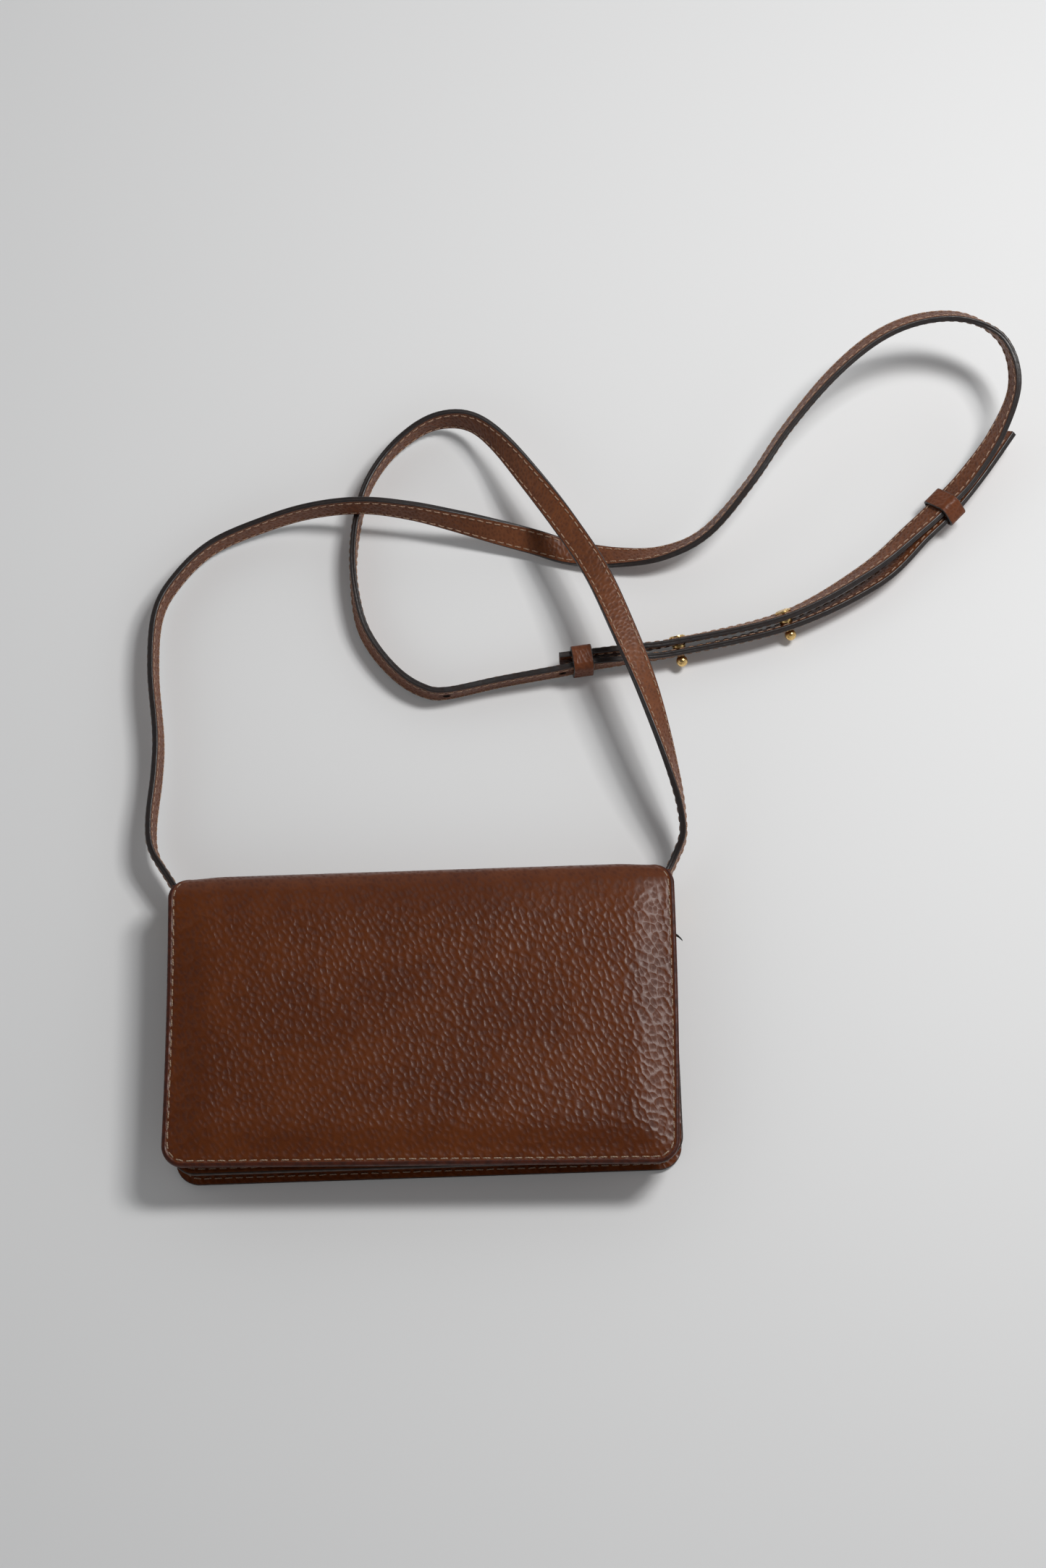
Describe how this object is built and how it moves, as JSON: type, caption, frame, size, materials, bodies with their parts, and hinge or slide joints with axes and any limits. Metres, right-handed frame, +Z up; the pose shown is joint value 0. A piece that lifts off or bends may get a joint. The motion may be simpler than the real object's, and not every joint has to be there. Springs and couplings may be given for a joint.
{
  "type": "crossbody purse",
  "caption": "Slim brown leather crossbody purse lying on its back, with a full-length flap and its stud-adjusted strap laid out behind it.",
  "frame": {"origin": "middle of the back panel's outer face, which lies on the surface", "axes": "+X across the bag's width, +Y towards the fold at the top of the flap, +Z up from the back panel to the flap"},
  "size_m": [0.3471, 0.3394, 0.0363],
  "materials": {
    "bag_leather": "saddle-brown pebbled cowhide, semi-matt, with dark painted edges and pale stitching",
    "strap_leather": "saddle-brown grained cowhide with near-black painted edges and stitching along both edges",
    "slot_leather": "thin smooth brown leather",
    "lining": "fine woven tan lining cloth",
    "board": "bonded leather board stiffener, hidden",
    "zip_tape": "dark brown woven zip tape",
    "zip_brass": "polished gold-coloured metal",
    "snap_brass": "satin gold-coloured plated steel",
    "gold_brass": "polished gold-plated brass"
  },
  "bodies": {
    "body": {"back_panel": "bag_leather", "back_board": "board", "back_lining": "lining", "card_slot_1": "slot_leather", "card_slot_2": "slot_leather", "card_slot_3": "slot_leather", "card_slot_4": "slot_leather", "card_slot_5": "slot_leather", "card_slot_6": "slot_leather", "gusset": "bag_leather", "zip_pocket_rear": "lining", "zip_pocket_front": "lining", "zip_tape_rear": "zip_tape", "zip_tape_front": "zip_tape", "zip_teeth": "zip_brass", "zip_stops": "zip_brass", "front_lining": "lining", "front_board": "board", "front_panel": "bag_leather", "snap_socket": "snap_brass", "snap_socket_washer": "snap_brass", "strap_long": "strap_leather", "strap_short": "strap_leather", "rivet_left": "gold_brass", "rivet_right": "gold_brass", "keeper_fixed": "strap_leather", "ball_stud_1": "gold_brass", "ball_stud_2": "gold_brass", "stud_screw_1": "gold_brass", "stud_screw_2": "gold_brass"},
    "spine": {"spine_leather": "bag_leather", "spine_lining": "lining"},
    "flap": {"flap_lining": "lining", "flap_board": "board", "flap_leather": "bag_leather", "snap_stud": "snap_brass", "snap_stud_washer": "snap_brass"},
    "keeper": {"keeper_sliding": "strap_leather"},
    "zip_slider": {"zip_slider": "zip_brass"},
    "zip_pull": {"zip_pull": "zip_brass"}
  },
  "joints": [
    {"name": "spine_hinge", "type": "hinge", "parent": "body", "child": "spine", "pos_m": [0, 0.057, 0.001], "axis": [-1, 0, 0], "range_deg": [0, 60]},
    {"name": "flap_hinge", "type": "hinge", "parent": "spine", "child": "flap", "pos_m": [0, 0.0562, 0.0208], "axis": [-1, 0, 0], "range_deg": [0, 70]},
    {"name": "keeper_slide", "type": "slide", "parent": "body", "child": "keeper", "axis": [-0.7221, -0.6885, -0.0672], "range_m": [-0.004, 0.004]},
    {"name": "zip_slide", "type": "slide", "parent": "body", "child": "zip_slider", "axis": [-1, 0, 0], "range_m": [0, 0.138]},
    {"name": "pull_hinge", "type": "hinge", "parent": "zip_slider", "child": "zip_pull", "pos_m": [0.069, 0.0387, 0.01025], "axis": [0, 0, -1], "range_deg": [0, 170]}
  ]
}
